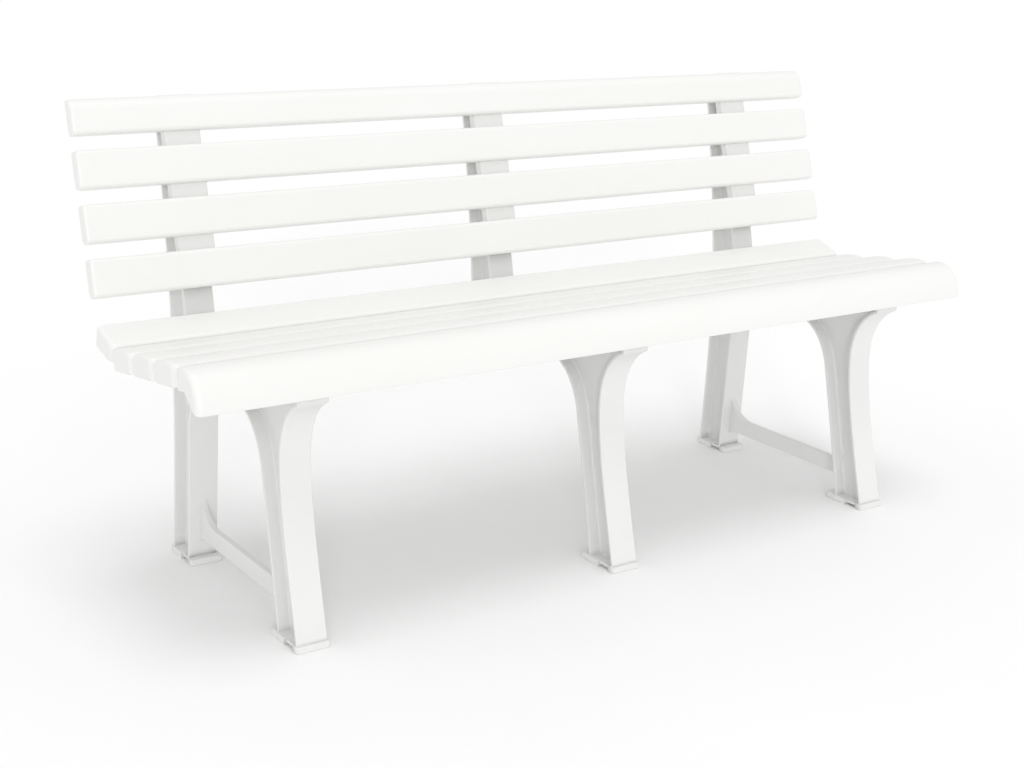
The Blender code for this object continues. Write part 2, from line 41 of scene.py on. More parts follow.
# ---- side frame: Bezier runs in side view, and the section across its width
FRONT_LEG_FRONT = (
    ((-0.234, 0.0), (-0.2115, 0.090), (-0.181, 0.193), (-0.181, 0.268)),
    ((-0.181, 0.268), (-0.181, 0.316), (-0.205, 0.347), (-0.233, 0.3585)),
)
FRONT_LEG_REAR = (
    ((-0.171, 0.0), (-0.156, 0.075), (-0.135, 0.170), (-0.120, 0.236)),
    ((-0.120, 0.236), (-0.1105, 0.278), (-0.085, 0.310), (-0.040, 0.316)),
)
RAIL_TO_REAR_LEG = ((0.060, 0.302), (0.095, 0.297), (0.1245, 0.272), (0.128, 0.232))
REAR_LEG_FRONT_FOOT = (0.1395, 0.0)
REAR_EDGE = (
    ((0.201, 0.0), (0.195, 0.090), (0.1895, 0.180), (0.1895, 0.270)),
    ((0.1895, 0.270), (0.1895, 0.400), (0.2160, 0.590), (0.2468, 0.720)),
)
# The middle frame has no rear leg: its seat rail ends in a heel that curves up into the post.
HEEL_SHARE = 0.25
HEEL_GUIDES = ((0.130, 0.292), (0.190, 0.327))
CURVE_STEPS = 16
TRIM_REACH = 0.025
FLANGE_HALF_WIDTH = 0.024
FLANGE_THICKNESS = 0.005
FLANGE_EDGE = 0.0016
LIP_EDGE = 0.0008
WEB_HALF_THICKNESS = 0.003
WEB_FILLET = 0.004
FOOT_SINK = 0.004
POST_TOP = 0.717
POST_HEEL = (0.1302, 0.385)
POST_TOP_REACH = 0.040
PAD_OVERHANG = 0.001

# ---- the planes the slats are screwed to
BACK_LEAN = 16.2
BACK_PLANE_POINT = (0.1605, 0.570)
BACK_FLANGE_SETBACK = 0.012
BACK_PAD_FOOT = 0.457
BACK_PAD_THICKNESS = 0.0155
PAD_HALF_WIDTH = 0.029
SEAT_RISE = 8.0
SEAT_REAR_RISE = 12.5
SEAT_STEP_Y = 0.051
SEAT_STEP_LOW = 0.3585
SEAT_STEP_HIGH = 0.3652
SEAT_REAR_END = 0.123
NOSE_BREAK = -0.205
NOSE_LEDGE_Y = (-0.233, -0.2285)
NOSE_LEDGE_Z = 0.3687
CLEARANCE = 0.0003

# ---- feet and stretcher
FOOT_THICKNESS = 0.010
FOOT_HALF_WIDTH = 0.027
FRONT_FOOT = (-0.236, -0.147)
REAR_FOOT = (0.124, 0.208)
FOOT_CORNER = 0.006
FOOT_EDGE = 0.0014
ANCHOR_FROM_TOE = 0.015
ANCHOR_LENGTH = 0.024
ANCHOR_INNER = 0.015
STRETCHER_HALF_THICKNESS = 0.005
STRETCHER_EDGE = 0.0014
STRETCHER_TOP = 0.069
STRETCHER_BOTTOM = 0.040
STRETCHER_FRONT_Y = -0.162
STRETCHER_REAR_Y = 0.1385
STRETCHER_REAR_FILLET = 0.058
STRETCHER_SMALL_FILLET = 0.010
STRETCHER_EMBED = 0.003

# ---- slats
WALL = 0.0035
END_WALL = 0.008
RIM_EDGE = 0.0008
SEAT_CROWN = 0.0025
REAR_SEAT_FALL = 0.0050
BACK_RIM_DEPTH = 0.009
NOTCH_GAP = 0.0008
NOSE_REAR_Y = -0.182
NOSE_CROWN = ((-0.182, 0.4165), (-0.1825, 0.4225), (-0.190, 0.4245), (-0.200, 0.4245))
NOSE_CURVE = ((-0.200, 0.4245), (-0.228, 0.4255), (-0.2435, 0.398), (-0.245, 0.3695))
NOSE_RIM = (-0.2405, 0.3700)
SEAT_ENDS = {"front": 0.010, "rear": 0.004, "top": 0.006, "low": 0.002}
BACK_ENDS = {"front": 0.005, "rear": 0.005, "top": 0.004, "low": 0.001}
END_STEPS = 6
ARC_STEPS = 6
RIB_PITCH = 0.079
RIB_THICKNESS = 0.0022
RIB_ABOVE_RIM = 0.004
RIB_INSET = 0.7 * WALL
RIB_TO_END = 3 * END_WALL
RIB_TO_FRAME = 1.3 * PAD_HALF_WIDTH
BOSS_RADIUS = 0.006
BOSS_BORE = 0.0023
BOSS_EDGE = 0.0006
BOSS_SIDES = 20
SEAT_SLAT_EDGE = 0.007
REAR_SEAT_SLAT_EDGE = 0.005
BACK_SLAT_EDGE = 0.006
TOP_SLAT_EDGE = 0.019
CLOSEST_STATIONS = 0.0002
NOTCH_SLOPE = 0.0006
# How far across the rim each rounding row lies, and how much of RIM_EDGE it stands proud.
RIM_ROUNDING = ((0.07, 0.7), (0.25, 1.0), (0.75, 1.0), (0.93, 0.7))

# ---- screws
WASHER_RADIUS = 0.0055
WASHER_THICKNESS = 0.0012
HEX_RADIUS = 0.0042
HEX_HEIGHT = 0.0035
SHANK_RADIUS = 0.0020
SHANK_TIP = 0.003
SHANK_TIP_SHARE = 0.2
HEX_CHAMFER = 0.12 * HEX_RADIUS
HEX_SIDES = 6
WASHER_EDGE = 0.25 * WASHER_THICKNESS
FACE_SIDES = 24
WASHER_SIDES = 32
SHANK_SIDES = 16


# ---------------------------------------------------------------- plane geometry


def bezier(points, steps, start=0.0):
    """Points along one cubic run from the given share of it, both ends included."""
    a, b, c, d = (Vector(p) for p in points)
    out = []
    for i in range(steps + 1):
        t = start + (1.0 - start) * i / steps
        s = 1.0 - t
        out.append(a * s**3 + b * (3 * s * s * t) + c * (3 * s * t * t) + d * t**3)
    return out


def chain(*runs):
    """One open polyline from several that share end points."""
    out = []
    for run in runs:
        for point in run:
            point = Vector(point)
            if not out or (out[-1] - point).length > 1e-6:
                out.append(point)
    return out


def arc(centre, radius, start, end, steps=ARC_STEPS):
    """Points of a circular arc, angles in degrees."""
    out = []
    for i in range(steps + 1):
        angle = math.radians(start + (end - start) * i / steps)
        out.append(Vector((centre[0] + radius * math.cos(angle), centre[1] + radius * math.sin(angle))))
    return out


def left_of(direction):
    return Vector((-direction.y, direction.x))


def moved_left(point, before, after, distance):
    """A corner between two unit directions, moved left of both by distance."""
    normal = (left_of(before) + left_of(after)).normalized()
    return point + normal * (distance / normal.dot(left_of(after)))


def offset(points, distance):
    """An open polyline moved to the left of its direction."""
    out = []
    for i, point in enumerate(points):
        before = (point - points[i - 1]).normalized() if i else None
        after = (points[i + 1] - point).normalized() if i + 1 < len(points) else None
        out.append(moved_left(point, before or after, after or before, distance))
    return out


def offset_closed(loop, distance):
    """A closed polyline moved to the left of its direction."""
    out = []
    for i, point in enumerate(loop):
        before = (point - loop[i - 1]).normalized()
        after = (loop[(i + 1) % len(loop)] - point).normalized()
        out.append(moved_left(point, before, after, distance))
    return out


def extended(points, length):
    """An open polyline lengthened along its end tangents."""
    first = points[0] + (points[0] - points[1]).normalized() * length
    last = points[-1] + (points[-1] - points[-2]).normalized() * length
    return [first, *points[1:-1], last]


def crossing(a, b, c, d):
    """Where segments ab and cd meet, or None."""
    ab = b - a
    cd = d - c
    cross = ab.x * cd.y - ab.y * cd.x
    if abs(cross) < 1e-14:
        return None
    ac = c - a
    t = (ac.x * cd.y - ac.y * cd.x) / cross
    u = (ac.x * ab.y - ac.y * ab.x) / cross
    return a + ab * t if 0 <= t <= 1 and 0 <= u <= 1 else None


def resampled(points, count):
    """count points at even spacing along a polyline, its last point left out."""
    lengths = [(b - a).length for a, b in zip(points, points[1:])]
    step = sum(lengths) / count
    out = []
    for k in range(count):
        want = k * step
        i = 0
        while i < len(lengths) - 1 and want > lengths[i]:
            want -= lengths[i]
            i += 1
        out.append(points[i].lerp(points[i + 1], min(1.0, want / lengths[i])))
    return out


def inset_loop(chains, inset):
    """The loop of consecutive clockwise chains, each moved inward and trimmed where it meets the next.

    Each chain always gives the same number of points, so loops of different inset match point by point.
    """
    runs = [extended(offset(points, -inset), TRIM_REACH) for points in chains]
    starts = [0] * len(runs)
    ends = [0] * len(runs)
    corners = [None] * len(runs)
    for k, run in enumerate(runs):
        after = runs[(k + 1) % len(runs)]
        best = None
        for i in range(len(run) - 1):
            for j in range(len(after) - 1):
                met = crossing(run[i], run[i + 1], after[j], after[j + 1])
                if met and (best is None or (met - chains[k][-1]).length < best[0]):
                    best = ((met - chains[k][-1]).length, i, j, met)
        _, ends[k], starts[(k + 1) % len(runs)], corners[k] = best
    loop = []
    for k, run in enumerate(runs):
        trimmed = [corners[k - 1], *run[starts[k] + 1 : ends[k] + 1], corners[k]]
        loop.extend(resampled(trimmed, max(1, len(chains[k]) - 1)))
    return loop


# ---------------------------------------------------------------- mesh building


class Solid:
    """Points and faces gathered from several closed shells."""

    def __init__(self):
        self.points = []
        self.faces = []

    def row(self, points):
        """Adds a row of points and returns their numbers."""
        start = len(self.points)
        self.points.extend(Vector(p) for p in points)
        return list(range(start, len(self.points)))

    def strip(self, a, b, closed=True):
        """Quads between two rows of equal length."""
        count = len(a)
        for i in range(count if closed else count - 1):
            j = (i + 1) % count
            self.faces.append([a[i], a[j], b[j], b[i]])

    def cap(self, *loops):
        """Fills one flat loop, or the space between an outer loop and an inner one."""
        numbers = [n for loop in loops for n in loop]
        for triangle in tessellate_polygon([[self.points[n] for n in loop] for loop in loops]):
            self.faces.append([numbers[i] for i in triangle])

    def rounded_prism(self, loop, low, high, edge, lift):
        """A closed outline between two levels with rounded edges. lift turns (a, b, level) into a point."""
        rows = []
        area = sum(a.x * b.y - b.x * a.y for a, b in zip(loop, loop[1:] + loop[:1]))
        inward = 1 if area > 0 else -1
        for level, turn in ((low, 1), (high, -1)):
            for t in (0, 1, 2, 3)[::turn]:
                angle = t * math.pi / 6
                inset = edge * (1 - math.sin(angle))
                depth = edge * (1 - math.cos(angle))
                ring = offset_closed(loop, inset * inward)
                rows.append(self.row(lift(p.x, p.y, level + turn * depth) for p in ring))
        for a, b in zip(rows, rows[1:]):
            self.strip(a, b)
        self.cap(rows[0])
        self.cap(rows[-1])

    def turned(self, profile, centre, axis_matrix, steps):
        """A closed ring profile of (radius, height) pairs turned about an axis through centre."""
        rows = []
        for radius, height in profile:
            ring = []
            for i in range(steps):
                angle = 2 * math.pi * (i + 0.5) / steps
                spot = Vector((radius * math.cos(angle), radius * math.sin(angle), height))
                ring.append(centre + axis_matrix @ spot)
            rows.append(self.row(ring))
        for a, b in zip(rows, rows[1:] + rows[:1]):
            self.strip(a, b)

    def mesh(self, name):
        """The mesh with outward faces and smooth shading."""
        mesh = bpy.data.meshes.new(name)
        mesh.from_pydata(self.points, [], self.faces)
        work = bmesh.new()
        work.from_mesh(mesh)
        bmesh.ops.remove_doubles(work, verts=work.verts, dist=1e-6)
        bmesh.ops.recalc_face_normals(work, faces=work.faces)
        work.to_mesh(mesh)
        work.free()
        mesh.shade_smooth()
        return mesh


def place_piece(name, mesh, node, finish, shift=(0.0, 0.0, 0.0)):
    """Shows a mesh in place of a CAD node and hides the node; the piece hangs under the root body in the
    given finish.
    """
    if not mesh.materials:
        mesh.materials.append(finish)
    piece = bpy.data.objects.new(name, mesh)
    piece.location = shift
    bpy.context.scene.collection.objects.link(piece)
    normals = piece.modifiers.new("flat_faces_stay_flat", "WEIGHTED_NORMAL")
    normals.keep_sharp = True
    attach(piece, "root")
    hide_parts(node)
    return piece


def side_view(y, z, x):
    return (x, y, z)


def plan_view(x, y, z):
    return (x, y, z)


# ---------------------------------------------------------------- side frames


def lean_point(z, depth):
    """A point at height z on the back-rest plane, moved rearward by depth square to the plane."""
    lean = math.radians(BACK_LEAN)
    y = BACK_PLANE_POINT[0] + (z - BACK_PLANE_POINT[1]) * math.tan(lean)
    return Vector((y + depth * math.cos(lean), z - depth * math.sin(lean)))


def seat_point(y, depth):
    """A point at y on the plane under the seat slats, moved down by depth square to that plane."""
    in_front = y < SEAT_STEP_Y
    angle = math.radians(-SEAT_RISE if in_front else SEAT_REAR_RISE)
    z = (SEAT_STEP_LOW if in_front else SEAT_STEP_HIGH) + (y - SEAT_STEP_Y) * math.tan(angle)
    return Vector((y + depth * math.sin(angle), z - depth * math.cos(angle)))


def frame_chains(detailed, rear_leg):
    """The side frame's outline, clockwise in (y, z). The recess skips the nose ledge and the seat step."""
    front = chain(*(bezier(run, CURVE_STEPS) for run in FRONT_LEG_FRONT))
    low, high = NOSE_LEDGE_Y
    ledge = [
        [front[-1], Vector((low, NOSE_LEDGE_Z))],
        [Vector((low, NOSE_LEDGE_Z)), Vector((high, NOSE_LEDGE_Z))],
    ]
    nose = [Vector((high, NOSE_LEDGE_Z)), seat_point(NOSE_BREAK, CLEARANCE)]
    before_step = SEAT_STEP_Y - 1e-6
    seat = [seat_point(NOSE_BREAK, CLEARANCE), seat_point(before_step, CLEARANCE)]
    step = [seat_point(before_step, CLEARANCE), seat_point(SEAT_STEP_Y, CLEARANCE)]
    seat_rear = [seat_point(SEAT_STEP_Y, CLEARANCE), seat_point(SEAT_REAR_END, CLEARANCE)]
    post = [
        Vector(POST_HEEL),
        lean_point(BACK_PAD_FOOT, BACK_FLANGE_SETBACK),
        lean_point(POST_TOP, BACK_FLANGE_SETBACK),
    ]
    top = [lean_point(POST_TOP, 0.0), lean_point(POST_TOP, POST_TOP_REACH)]
    front_leg_rear = chain(*(bezier(run, CURVE_STEPS)[::-1] for run in FRONT_LEG_REAR[::-1]))
    if rear_leg:
        rear = chain(*(bezier(run, CURVE_STEPS) for run in REAR_EDGE))[::-1]
        heel_y = REAR_EDGE[0][0][0]
        rear_sole = [Vector((heel_y, FOOT_SINK)), Vector((REAR_LEG_FRONT_FOOT[0], FOOT_SINK))]
        rail_end = bezier(RAIL_TO_REAR_LEG, CURVE_STEPS)[::-1]
        behind = [rear, rear_sole, chain([REAR_LEG_FRONT_FOOT], rail_end, front_leg_rear)]
    else:
        rear = bezier(REAR_EDGE[1], CURVE_STEPS, HEEL_SHARE)[::-1]
        heel = bezier((RAIL_TO_REAR_LEG[0], *HEEL_GUIDES, rear[-1]), CURVE_STEPS)[::-1]
        behind = [chain(rear, heel, front_leg_rear)]
    toe_y = FRONT_LEG_FRONT[0][0][0]
    front_sole = [Vector((FRONT_LEG_REAR[0][0][0], FOOT_SINK)), Vector((toe_y, FOOT_SINK))]
    if detailed:
        return [front, *ledge, nose, seat, step, seat_rear, post, top, *behind, front_sole]
    return [front, nose, seat, seat_rear, post, top, *behind, front_sole]


def add_flanged_body(solid, rear_leg):
    """The I-section body: rounded flange edges, a recess on each side and a fillet down to the web."""
    outline = frame_chains(True, rear_leg)
    recess = frame_chains(False, rear_leg)
    outer_rows = []
    quarter = [t * math.pi / 6 for t in range(4)]
    for side in (-1, 1):
        rounding = []
        for angle in quarter:
            inset = FLANGE_EDGE * (1 - math.sin(angle))
            x = FLANGE_HALF_WIDTH - FLANGE_EDGE * (1 - math.cos(angle))
            rounding.append(solid.row((side * x, p.x, p.y) for p in inset_loop(outline, inset)))
        lip = []
        for angle in quarter:
            inset = FLANGE_THICKNESS - LIP_EDGE * (1 - math.sin(angle))
            x = FLANGE_HALF_WIDTH - LIP_EDGE * (1 - math.cos(angle))
            lip.append(solid.row((side * x, p.x, p.y) for p in inset_loop(recess, inset)))
        for t in range(6):
            angle = t * math.pi / 10
            inset = FLANGE_THICKNESS + WEB_FILLET * (1 - math.cos(angle))
            x = WEB_HALF_THICKNESS + WEB_FILLET * (1 - math.sin(angle))
            lip.append(solid.row((side * x, p.x, p.y) for p in inset_loop(recess, inset)))
        for rows in (rounding, lip):
            for a, b in zip(rows, rows[1:]):
                solid.strip(a, b)
        solid.cap(rounding[0], lip[0])
        solid.cap(lip[-1])
        outer_rows.append(rounding[-1])
    solid.strip(*outer_rows)


def foot_outline(toe, heel):
    """A foot plate with clipped corners and an anchor notch in each long edge, in (x, y)."""
    notch = toe + ANCHOR_FROM_TOE
    side = [
        (FOOT_HALF_WIDTH - FOOT_CORNER * 0.5, toe),
        (FOOT_HALF_WIDTH, toe + FOOT_CORNER * 0.5),
        (FOOT_HALF_WIDTH, notch),
        (ANCHOR_INNER, notch),
        (ANCHOR_INNER, notch + ANCHOR_LENGTH),
        (FOOT_HALF_WIDTH, notch + ANCHOR_LENGTH),
        (FOOT_HALF_WIDTH, heel - FOOT_CORNER),
        (FOOT_HALF_WIDTH - FOOT_CORNER, heel),
    ]
    side = [Vector(p) for p in side]
    return side + [Vector((-p.x, p.y)) for p in side[::-1]]


def stretcher_outline():
    """The stretcher with its fillets into both legs, in (y, z)."""
    big = STRETCHER_REAR_FILLET
    small = STRETCHER_SMALL_FILLET
    hidden_front = STRETCHER_FRONT_Y - STRETCHER_EMBED
    hidden_rear = STRETCHER_REAR_Y + STRETCHER_EMBED
    return chain(
        [(hidden_front, STRETCHER_BOTTOM - small), (hidden_front, STRETCHER_TOP + small)],
        arc((STRETCHER_FRONT_Y + small, STRETCHER_TOP + small), small, 180, 270),
        arc((STRETCHER_REAR_Y - big, STRETCHER_TOP + big), big, -90, 0, 12),
        [(hidden_rear, STRETCHER_TOP + big), (hidden_rear, STRETCHER_BOTTOM - small)],
        arc((STRETCHER_REAR_Y - small, STRETCHER_BOTTOM - small), small, 0, 90),
        arc((STRETCHER_FRONT_Y + small, STRETCHER_BOTTOM - small), small, 90, 180),
    )


def frame_mesh(rear_leg):
    """One side frame centred on X = 0. The rear leg brings its foot plate and the stretcher."""
    solid = Solid()
    add_flanged_body(solid, rear_leg)
    pad = [
        lean_point(BACK_PAD_FOOT, CLEARANCE),
        lean_point(POST_TOP + PAD_OVERHANG, CLEARANCE),
        lean_point(POST_TOP + PAD_OVERHANG, BACK_PAD_THICKNESS),
        lean_point(BACK_PAD_FOOT, BACK_PAD_THICKNESS),
    ]
    solid.rounded_prism(pad, -PAD_HALF_WIDTH, PAD_HALF_WIDTH, FLANGE_EDGE, side_view)
    if rear_leg:
        half = STRETCHER_HALF_THICKNESS
        solid.rounded_prism(stretcher_outline(), -half, half, STRETCHER_EDGE, side_view)
    for toe, heel in (FRONT_FOOT, REAR_FOOT) if rear_leg else (FRONT_FOOT,):
        solid.rounded_prism(foot_outline(toe, heel), 0.0, FOOT_THICKNESS, FOOT_EDGE, plan_view)
    return solid.mesh("outer_frame" if rear_leg else "middle_frame")


# ---------------------------------------------------------------- slats


def rounding(distance, radius):
    """How far a rounded edge falls back at this distance from the end face."""
    if distance >= radius:
        return 0.0
    return radius - math.sqrt(max(0.0, radius**2 - (radius - distance) ** 2))


def stations(half, ends, frames, notch_reach):
    """X positions of a slat's sections: close together round the ends, and either side of each notch."""
    gaps = set()
    for radius in ends.values():
        gaps.update(radius * (1 - math.sin(t * math.pi / 2 / END_STEPS)) for t in range(END_STEPS + 1))
    gaps = sorted(gaps, reverse=True)
    spread = [gaps[0]]
    for gap in gaps[1:]:
        if spread[-1] - gap > CLOSEST_STATIONS or gap < 1e-9:
            spread.append(gap)
    middle = []
    if notch_reach:
        for x in frames:
            outside = notch_reach + NOTCH_SLOPE
            middle += [x - outside, x - notch_reach, x + notch_reach, x + outside]
    left = [-half + gap for gap in spread[::-1]]
    return left + middle + [half - gap for gap in spread]


def add_shell(solid, outline, under, half, ends, frames, notch_reach, lift, rounded_under=False):
    """An open-backed shell from its outer section, with rounded ends and a rounded rim.

    under closes each end wall along the rim side. lift turns (x, across, height) into a point.
    """
    inner = offset(outline, -WALL)
    low = min(p.y for p in outline)
    high = max(p.y for p in outline)
    front = min(p.x for p in outline)
    rear = max(p.x for p in outline)
    places = stations(half, ends, frames, notch_reach)
    last = len(outline) - 1

    def section(points, x, shift, rim_points):
        gap = half - abs(x)
        front_inset = rounding(gap, ends["front"])
        rear_inset = rounding(gap, ends["rear"])
        fall = rounding(gap, ends["top"])
        lifted = rounding(gap, ends["low"])
        notched = any(abs(x - at) < notch_reach + NOTCH_SLOPE / 6 for at in frames)
        out = []
        for i, p in enumerate(points):
            across = (p.x - front) / (rear - front)
            across = p.x + front_inset * (1 - across) - rear_inset * across
            share = min(1.0, max(0.0, (p.y - low) / (high - low)))
            height = p.y - fall * share + lifted * (1 - share)
            if i in rim_points:
                height += RIM_EDGE
            if notched:
                height = max(height, RIM_EDGE)
            out.append(lift(x - shift * math.copysign(1, x), across, height))
        return out

    outer_rows = []
    inner_rows = []
    for x in places:
        gap = half - abs(x)
        shift = END_WALL * max(0.0, 1 - gap / (4 * END_WALL))
        rim_inner = [Vector((inner[0].x, outline[0].y)), *inner[1:-1], Vector((inner[-1].x, outline[-1].y))]
        outer_rows.append(solid.row(section(outline, x, 0.0, (0, last))))
        inner_rows.append(solid.row(section(rim_inner, x, shift, (0, last))))
    for rows in (outer_rows, inner_rows):
        for a, b in zip(rows, rows[1:]):
            solid.strip(a, b, closed=False)
    outer_under = []
    inner_under = []
    narrowing = 1 - 2 * WALL / (rear - front) if rounded_under else 1.0
    pulled_in = [Vector((p.x * narrowing, p.y)) for p in under]
    whole = range(len(under))
    for k in (0, -1):
        outer_under.append(solid.row(section(under, places[k], 0.0, whole)))
        inner_under.append(solid.row(section(pulled_in, places[k], END_WALL, whole)))
        solid.faces.append(outer_rows[k] + outer_under[-1])
        solid.faces.append(inner_rows[k] + inner_under[-1])
    rims = []
    for rows, ends_under in ((outer_rows, outer_under), (inner_rows, inner_under)):
        rim = [row[0] for row in rows] + ends_under[1][::-1]
        rim += [row[-1] for row in rows[::-1]] + ends_under[0]
        rims.append(rim)
    down = lift(0.0, 0.0, -1.0) - lift(0.0, 0.0, 0.0)
    between = [rims[0]]
    for share, drop in RIM_ROUNDING:
        ring = []
        for a, b in zip(*rims):
            ring.append(solid.points[a].lerp(solid.points[b], share) + down * (RIM_EDGE * drop))
        between.append(solid.row(ring))
    between.append(rims[1])
    for a, b in zip(between, between[1:]):
        solid.strip(a, b)


def add_ribs(solid, outline, floor, half, frames, lift):
    """Thin cross ribs inside a shell, clear of the side frames."""
    count = int(half / RIB_PITCH)
    rib = offset(outline, -RIB_INSET)
    rib = [Vector((rib[0].x, floor)), *rib[1:-1], Vector((rib[-1].x, floor))]
    for k in range(-count, count + 1):
        x = k * RIB_PITCH + RIB_PITCH / 2
        if abs(x) > half - RIB_TO_END or any(abs(x - at) < RIB_TO_FRAME for at in frames):
            continue
        rows = [solid.row(lift(x + s * RIB_THICKNESS / 2, p.x, p.y) for p in rib) for s in (-1, 1)]
        solid.strip(*rows)
        for row in rows:
            solid.cap(row)


def add_bosses(solid, frames, offset_x, base, top, turn):
    """One screw boss over each side frame, standing on the shell's skin."""
    for at in frames:
        centre = Vector((at + offset_x, *base))
        profile = [
            (BOSS_BORE, BOSS_EDGE),
            (BOSS_BORE + BOSS_EDGE, 0.0),
            (BOSS_RADIUS - BOSS_EDGE, 0.0),
            (BOSS_RADIUS, BOSS_EDGE),
            (BOSS_RADIUS, top),
            (BOSS_BORE, top),
        ]
        solid.turned(profile, centre, turn, BOSS_SIDES)


def turn_about_x(angle):
    return Matrix.Rotation(math.radians(angle), 3, "X")


def local_box(node, angle):
    """A CAD node's (x, across, height) bounds in axes turned about X by angle."""
    back = turn_about_x(-angle)
    points = [back @ v.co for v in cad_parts[node].data.vertices]
    low = Vector(min(p[i] for p in points) for i in range(3))
    high = Vector(max(p[i] for p in points) for i in range(3))
    return low, high


def slat_outline(width, face, crown, fall, rear_edge, front_edge, rim):
    """A slat's outer section from front rim to rear rim, in (across, height above the side frame)."""
    half = width / 2
    front_face = face - fall / 2
    rear_face = face + fall / 2
    low = arc((-half + front_edge, front_face - front_edge), front_edge, 180, 90)
    high = arc((half - rear_edge, rear_face - rear_edge), rear_edge, 90, 0)
    top = []
    steps = 10
    for i in range(1, steps if crown else 1):
        t = i / steps
        across = low[-1].x + (high[0].x - low[-1].x) * t
        top.append(Vector((across, face + crown * 4 * t * (1 - t))))
    return chain([(-half, -rim)], low, top, high, [(half, -rim)])


def slat_mesh(name, node, angle, ends, rear_edge, front_edge, crown=0.0, fall=0.0, rim=0.0):
    """A slat's shell, ribs and bosses around its CAD node."""
    low, high = local_box(node, angle)
    centre = (low + high) / 2
    base = low.z + rim
    face = high.z - base - crown - fall / 2
    outline = slat_outline(high.y - low.y, face, crown, fall, rear_edge, front_edge, rim)
    turn = turn_about_x(angle)

    def lift(x, across, height):
        return turn @ Vector((x, centre.y + across, base + height))

    solid = Solid()
    half = (high.x - low.x) / 2
    notch = PAD_HALF_WIDTH + NOTCH_GAP if rim else 0.0
    width = high.y - low.y
    corner = ends["low"]
    corner_arc = arc((0.0, 0.0), corner, 0, -90, 3)[1:]
    under = [Vector((width / 2 - corner + p.x, p.y - rim)) for p in corner_arc]
    under += [Vector((-p.x, p.y)) for p in under[::-1]]
    add_shell(solid, outline, under, half, ends, frame_places, notch, lift, rounded_under=True)
    add_ribs(solid, outline, RIB_ABOVE_RIM - rim, half, frame_places, lift)
    origin = lift(0.0, 0.0, 0.0)
    add_bosses(solid, frame_places, screw_offset, (origin.y, origin.z), face + crown / 2 - WALL / 2, turn)
    return solid.mesh(name)


def nose_mesh(name, node):
    """The front seat slat, whose face rolls over into the seat's front edge."""
    low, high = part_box(node)
    nose = bezier(NOSE_CURVE, 2 * ARC_STEPS)[::-1]
    crown = bezier(NOSE_CROWN, ARC_STEPS)[::-1]
    outline = chain(nose, crown, [seat_point(NOSE_REAR_Y, 0.0)])
    under = [seat_point(NOSE_BREAK, 0.0), Vector(NOSE_RIM)]

    def lift(x, across, height):
        return Vector((x, across, height))

    solid = Solid()
    half = (high.x - low.x) / 2
    add_shell(solid, outline, under, half, SEAT_ENDS, frame_places, 0.0, lift)
    screw_low, screw_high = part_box("screw_seat_5_middle")
    base_y = (screw_low.y + screw_high.y) / 2
    base = seat_point(base_y, 0.0)
    turn = turn_about_x(-SEAT_RISE)
    add_bosses(solid, frame_places, screw_offset, (base.x, base.y), high.z - base.y - WALL, turn)
    return solid.mesh(name)


# ---------------------------------------------------------------- screws


def screw_mesh(name, node, angle):
    """A chamfered hex head with a washer, and its shank, about the CAD screw's own axis."""
    low, high = local_box(node, angle)
    centre = (low + high) / 2
    turn = turn_about_x(angle)
    seat = low.z + HEX_HEIGHT + WASHER_THICKNESS
    solid = Solid()

    def ring(radius, height, steps, start=0.0):
        out = []
        for i in range(steps):
            a = 2 * math.pi * (i + start) / steps
            spot = Vector((radius * math.cos(a), radius * math.sin(a) + centre.y, height))
            out.append(turn @ spot)
        return solid.row(out)

    def stack(rows):
        for a, b in zip(rows, rows[1:]):
            solid.strip(a, b)
        solid.cap(rows[0])
        solid.cap(rows[-1])

    head_low = low.z
    under_face = seat - WASHER_THICKNESS / 2
    chamfer = HEX_CHAMFER
    stack(
        [
            ring(HEX_RADIUS - 2 * chamfer, head_low, FACE_SIDES, 0.5),
            ring(HEX_RADIUS - chamfer, head_low + chamfer * 0.5, FACE_SIDES, 0.5),
        ]
    )
    stack(
        [
            ring(HEX_RADIUS - chamfer * 0.6, head_low + chamfer * 0.3, HEX_SIDES, 0.5),
            ring(HEX_RADIUS, head_low + chamfer, HEX_SIDES, 0.5),
            ring(HEX_RADIUS, under_face, HEX_SIDES, 0.5),
        ]
    )
    edge = WASHER_EDGE
    stack(
        [
            ring(WASHER_RADIUS - edge, seat - WASHER_THICKNESS, WASHER_SIDES),
            ring(WASHER_RADIUS, seat - WASHER_THICKNESS + edge, WASHER_SIDES),
            ring(WASHER_RADIUS, seat - edge, WASHER_SIDES),
            ring(WASHER_RADIUS - edge, seat, WASHER_SIDES),
        ]
    )
    shank = [
        ring(SHANK_RADIUS, under_face, SHANK_SIDES),
        ring(SHANK_RADIUS, high.z - SHANK_TIP, SHANK_SIDES),
        ring(SHANK_RADIUS * SHANK_TIP_SHARE, high.z, SHANK_SIDES),
    ]
    stack(shank)
    return solid.mesh(name)


# ---------------------------------------------------------------- finishes


def add_node(tree, kind, **values):
    """A shader node with some of its settings and unlinked inputs set."""
    node = tree.nodes.new(kind)
    for name, value in values.items():
        if hasattr(node, name):
            setattr(node, name, value)
        else:
            node.inputs[name.replace("_", " ")].default_value = value
    return node


def mapped(tree, source, low, high, start=0.3, end=0.7):
    """A noise value spread over another range."""
    node = add_node(tree, "ShaderNodeMapRange")
    for name, value in (("From Min", start), ("From Max", end), ("To Min", low), ("To Max", high)):
        node.inputs[name].default_value = value
    tree.links.new(source, node.inputs["Value"])
    return node.outputs["Result"]


def blended(tree, share, first, second):
    """A colour between two by a share."""
    node = add_node(tree, "ShaderNodeMix", data_type="RGBA")
    tree.links.new(share, node.inputs["Factor"])
    node.inputs[6].default_value = (*first, 1.0)
    node.inputs[7].default_value = (*second, 1.0)
    return node.outputs[2]


